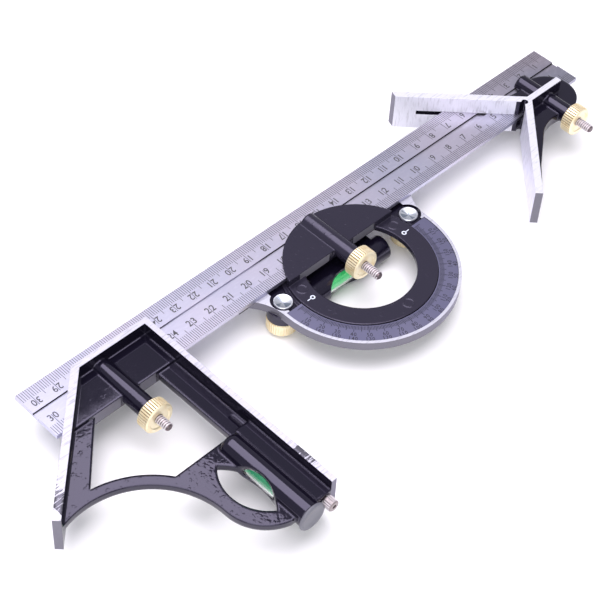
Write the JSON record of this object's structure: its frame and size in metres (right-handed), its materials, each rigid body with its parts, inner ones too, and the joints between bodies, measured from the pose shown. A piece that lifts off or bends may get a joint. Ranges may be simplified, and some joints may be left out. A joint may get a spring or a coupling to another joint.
{
  "type": "combination square",
  "caption": "Grooved steel rule carrying a square head with level and scriber, a turning protractor head with level, and a V-shaped centre head, each held by a knurled clamp nut.",
  "frame": {"origin": "middle of the square-cut end of the rule where its scale reads zero, at half its thickness", "axes": "+X along the rule, +Y across the rule towards the clamp nuts, +Z out of the rule's grooved face"},
  "size_m": [0.3335, 0.1365, 0.0264],
  "materials": {
    "rule_steel": "satin, etched marks",
    "black_enamel": "gloss black over a casting, working faces milled bright",
    "nickel_steel": "nickel plated",
    "pale_brass": "straight knurl",
    "brass_fitting": "turned",
    "spring_steel": "drawn wire",
    "needle_steel": "polished",
    "scale_steel": "satin, etched marks",
    "vial_glass": "clear",
    "vial_liquid": "clear green liquid",
    "plug_plastic": "matt"
  },
  "bodies": {
    "rule": {"rule": "rule_steel"},
    "square_head": {"square_head": "black_enamel", "square_vial_glass": "vial_glass", "square_vial_liquid": "vial_liquid", "square_vial_cap": "black_enamel", "scriber_bush": "brass_fitting", "square_clamp_spring": "spring_steel"},
    "square_bolt": {"square_clamp_bolt": "nickel_steel"},
    "square_nut": {"square_clamp_nut": "pale_brass"},
    "scriber": {"scriber_needle": "needle_steel", "scriber_knob": "brass_fitting"},
    "turret": {"protractor_turret": "black_enamel", "protractor_clamp_spring": "spring_steel"},
    "turret_bolt": {"protractor_clamp_bolt": "nickel_steel"},
    "turret_nut": {"protractor_clamp_nut": "pale_brass"},
    "frame": {"protractor_frame": "black_enamel", "protractor_scale": "scale_steel", "protractor_vial_glass": "vial_glass", "protractor_vial_liquid": "vial_liquid", "protractor_vial_plugs": "plug_plastic"},
    "lock_bolt_left": {"lock_bolt_left": "nickel_steel"},
    "lock_bolt_right": {"lock_bolt_right": "nickel_steel"},
    "lock_nut_left": {"lock_nut_left": "pale_brass"},
    "lock_nut_right": {"lock_nut_right": "pale_brass"},
    "centre_head": {"centre_head": "black_enamel", "centre_clamp_spring": "spring_steel"},
    "centre_bolt": {"centre_clamp_bolt": "nickel_steel"},
    "centre_nut": {"centre_clamp_nut": "pale_brass"}
  },
  "joints": [
    {"name": "square_head_slide", "type": "slide", "parent": "rule", "child": "square_head", "axis": [1, 0, 0], "range_m": [-0.02, 0.025]},
    {"name": "turret_slide", "type": "slide", "parent": "rule", "child": "turret", "axis": [1, 0, 0], "range_m": [-0.01, 0.01]},
    {"name": "centre_head_slide", "type": "slide", "parent": "rule", "child": "centre_head", "axis": [1, 0, 0], "range_m": [-0.012, 0.01]},
    {"name": "scriber_slide", "type": "slide", "parent": "square_head", "child": "scriber", "axis": [0, 1, 0], "range_m": [0, 0.045]},
    {"name": "frame_swing", "type": "hinge", "parent": "turret", "child": "frame", "pos_m": [0.1568, 0.0269, 0], "axis": [0, 0, 1], "range_deg": [-90, 90]},
    {"name": "square_nut_turn", "type": "hinge", "parent": "square_head", "child": "square_nut", "pos_m": [0.2715, 0.025, 0.001], "axis": [0, 1, 0], "range_deg": [0, 180]},
    {"name": "square_bolt_draw", "type": "slide", "parent": "square_head", "child": "square_bolt", "axis": [0, 1, 0], "range_m": [-0.00035, 0]},
    {"name": "turret_nut_turn", "type": "hinge", "parent": "turret", "child": "turret_nut", "pos_m": [0.1568, 0.025, 0.001], "axis": [0, 1, 0], "range_deg": [0, 180]},
    {"name": "turret_bolt_draw", "type": "slide", "parent": "turret", "child": "turret_bolt", "axis": [0, 1, 0], "range_m": [-0.00035, 0]},
    {"name": "centre_nut_turn", "type": "hinge", "parent": "centre_head", "child": "centre_nut", "pos_m": [0.0224, 0.025, 0.001], "axis": [0, 1, 0], "range_deg": [0, 180]},
    {"name": "centre_bolt_draw", "type": "slide", "parent": "centre_head", "child": "centre_bolt", "axis": [0, 1, 0], "range_m": [-0.00035, 0]},
    {"name": "lock_nut_left_turn", "type": "hinge", "parent": "frame", "child": "lock_nut_left", "pos_m": [0.19385, 0.0195, -0.012], "axis": [0, 0, -1], "range_deg": [0, 78]},
    {"name": "lock_bolt_left_lift", "type": "slide", "parent": "frame", "child": "lock_bolt_left", "axis": [0, 0, 1], "range_m": [0, 0.00015]},
    {"name": "lock_nut_right_turn", "type": "hinge", "parent": "frame", "child": "lock_nut_right", "pos_m": [0.11975, 0.0195, -0.012], "axis": [0, 0, -1], "range_deg": [0, 78]},
    {"name": "lock_bolt_right_lift", "type": "slide", "parent": "frame", "child": "lock_bolt_right", "axis": [0, 0, 1], "range_m": [0, 0.00015]}
  ],
  "couplings": [
    {"joint": "square_nut_turn", "follows": "square_bolt_draw", "rad_per_m": -8976},
    {"joint": "turret_nut_turn", "follows": "turret_bolt_draw", "rad_per_m": -8976},
    {"joint": "centre_nut_turn", "follows": "centre_bolt_draw", "rad_per_m": -8976},
    {"joint": "lock_nut_left_turn", "follows": "lock_bolt_left_lift", "rad_per_m": 8976},
    {"joint": "lock_nut_right_turn", "follows": "lock_bolt_right_lift", "rad_per_m": 8976}
  ]
}
